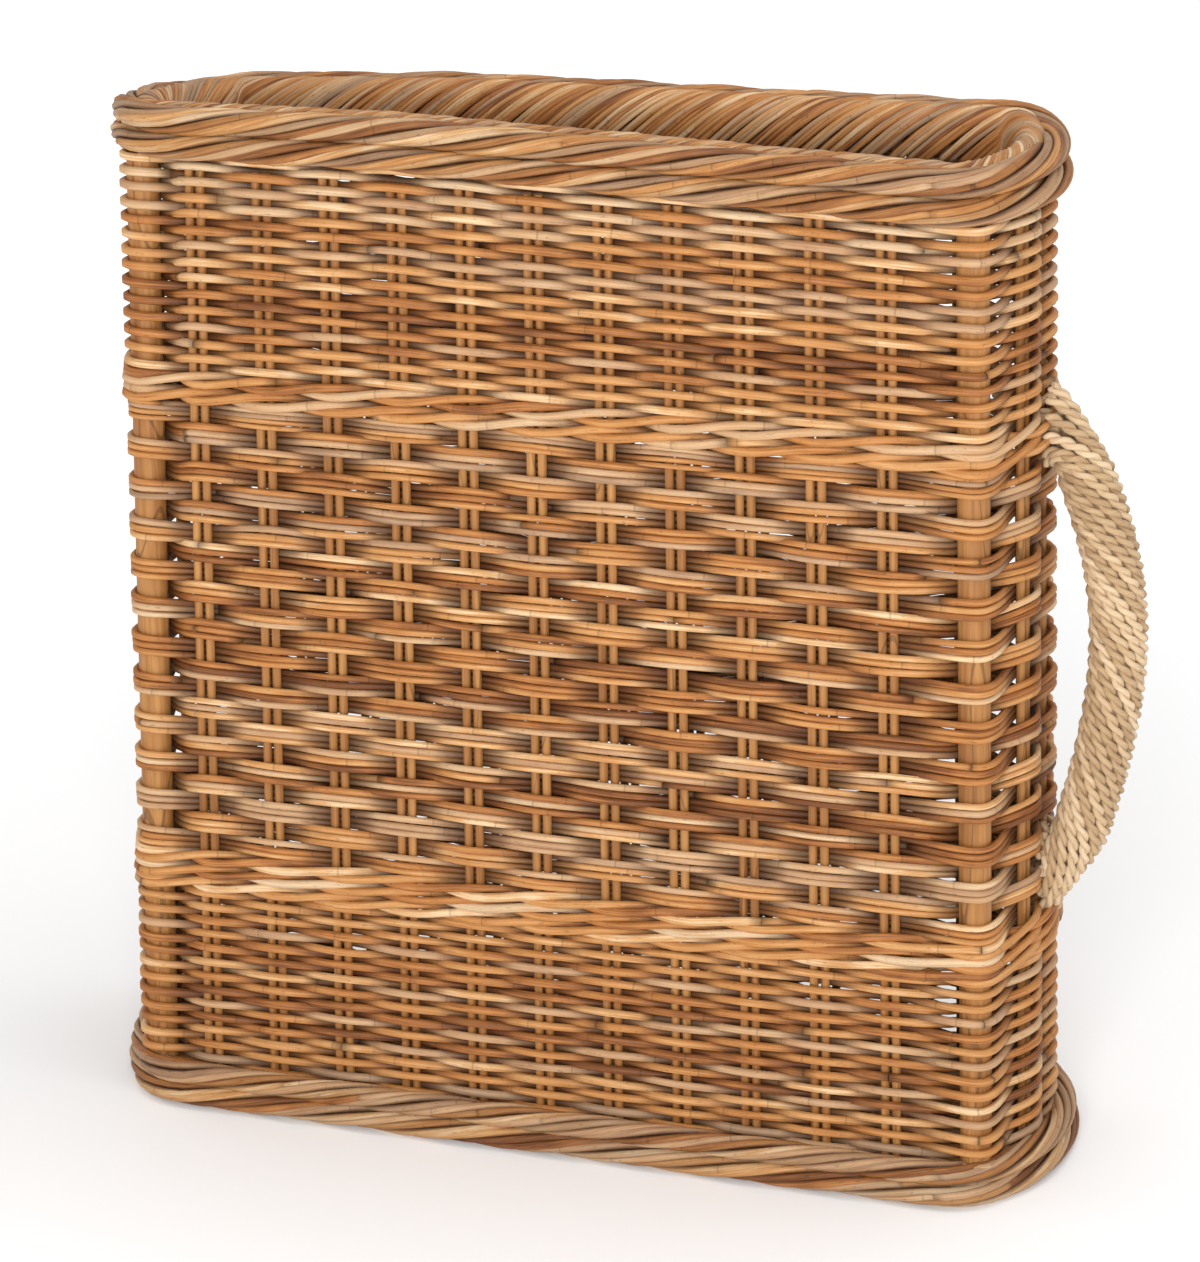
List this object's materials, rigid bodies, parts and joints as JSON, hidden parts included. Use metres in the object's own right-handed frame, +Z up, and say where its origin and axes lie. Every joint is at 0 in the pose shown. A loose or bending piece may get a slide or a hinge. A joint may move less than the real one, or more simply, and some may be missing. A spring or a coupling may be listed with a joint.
{
  "type": "wicker log basket",
  "caption": "Slim upright rattan log basket with posts and paired stakes, fine and open woven bands, rope-like rim and foot rolls, and one rope handle that swings on an end wall.",
  "frame": {"origin": "middle of the underside of the foot roll, on the floor", "axes": "+X along the long side towards the rope handle, +Y through the depth towards the back, +Z up"},
  "size_m": [0.6112, 0.1848, 0.6],
  "materials": {
    "woven_cane": "satin, unpeeled honey-brown rattan",
    "border_cane": "satin, unpeeled honey-brown rattan",
    "upright_cane": "satin, brown rattan",
    "rope": "matt, pale plant-fibre cord",
    "nail_steel": "plain"
  },
  "bodies": {
    "basket": {"base_frame": "upright_cane", "base_mat": "woven_cane", "base_nails": "nail_steel", "base_roll": "border_cane", "base_runner_1": "upright_cane", "base_runner_2": "upright_cane", "base_runner_3": "upright_cane", "corner_post_back_left": "upright_cane", "corner_post_back_right": "upright_cane", "corner_post_front_left": "upright_cane", "corner_post_front_right": "upright_cane", "lower_fine_weave": "woven_cane", "lower_wale": "woven_cane", "open_weave": "woven_cane", "rim_hoop": "upright_cane", "rim_inner_lap": "border_cane", "rim_lower_roll": "border_cane", "rim_nails": "nail_steel", "rim_upper_roll": "border_cane", "rope_end_lower": "rope", "rope_end_upper": "rope", "stake_pair_back_01": "upright_cane", "stake_pair_back_02": "upright_cane", "stake_pair_back_03": "upright_cane", "stake_pair_back_04": "upright_cane", "stake_pair_back_05": "upright_cane", "stake_pair_back_06": "upright_cane", "stake_pair_back_07": "upright_cane", "stake_pair_back_08": "upright_cane", "stake_pair_back_09": "upright_cane", "stake_pair_back_10": "upright_cane", "stake_pair_back_11": "upright_cane", "stake_pair_front_01": "upright_cane", "stake_pair_front_02": "upright_cane", "stake_pair_front_03": "upright_cane", "stake_pair_front_04": "upright_cane", "stake_pair_front_05": "upright_cane", "stake_pair_front_06": "upright_cane", "stake_pair_front_07": "upright_cane", "stake_pair_front_08": "upright_cane", "stake_pair_front_09": "upright_cane", "stake_pair_front_10": "upright_cane", "stake_pair_front_11": "upright_cane", "stake_pair_left_1": "upright_cane", "stake_pair_left_2": "upright_cane", "stake_pair_right_1": "upright_cane", "stake_pair_right_2": "upright_cane", "upper_fine_weave": "woven_cane", "upper_wale": "woven_cane"},
    "handle": {"rope_handle": "rope"}
  },
  "joints": [
    {"name": "handle_swing", "type": "hinge", "parent": "basket", "child": "handle", "pos_m": [0.277, 0, 0.305], "axis": [0, 0, 1], "range_deg": [-32, 32]}
  ]
}
